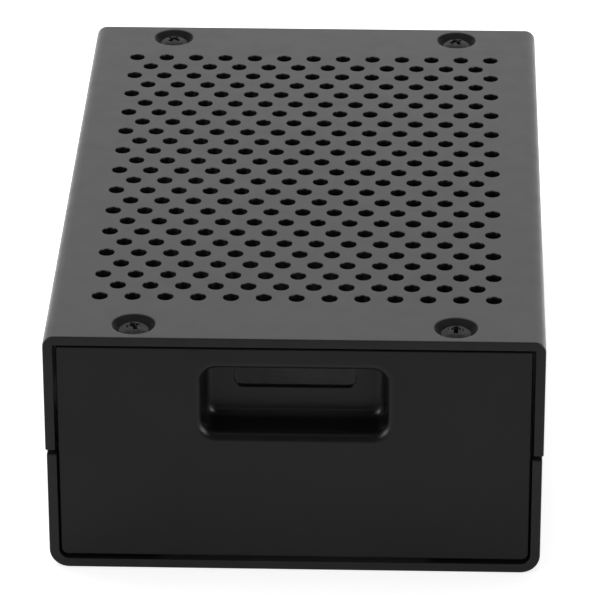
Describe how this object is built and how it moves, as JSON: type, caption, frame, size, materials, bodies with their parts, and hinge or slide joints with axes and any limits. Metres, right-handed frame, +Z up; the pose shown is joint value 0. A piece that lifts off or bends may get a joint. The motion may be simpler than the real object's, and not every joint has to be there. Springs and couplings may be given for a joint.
{
  "type": "single board computer case",
  "caption": "Flat case for a card-size single board computer: folded black sheet shells, the upper one perforated, around moulded end panels with a card slot and port openings.",
  "frame": {"origin": "centre of the plain shell's flat face, which the case lies on, at the middle of its length and width", "axes": "+Z up, out of the perforated face; +Y along the case's length, from the card slot's end to the port end; -Y looks at the card slot; +X to the right of that view"},
  "size_m": [0.0604, 0.0934, 0.0318],
  "materials": {
    "cover_coating": "black coating, satin",
    "base_coating": "black coating, satin",
    "panel_plastic": "black moulded plastic, slightly glossy",
    "black_screws": "blackened steel",
    "insert_brass": "plain",
    "post_steel": "plated"
  },
  "bodies": {
    "root": {"cover_shell": "cover_coating", "base_shell": "base_coating", "front_panel": "panel_plastic", "rear_panel": "panel_plastic", "cover_screws": "black_screws", "base_screws": "black_screws", "threaded_inserts": "insert_brass", "board_posts": "post_steel"}
  },
  "joints": []
}
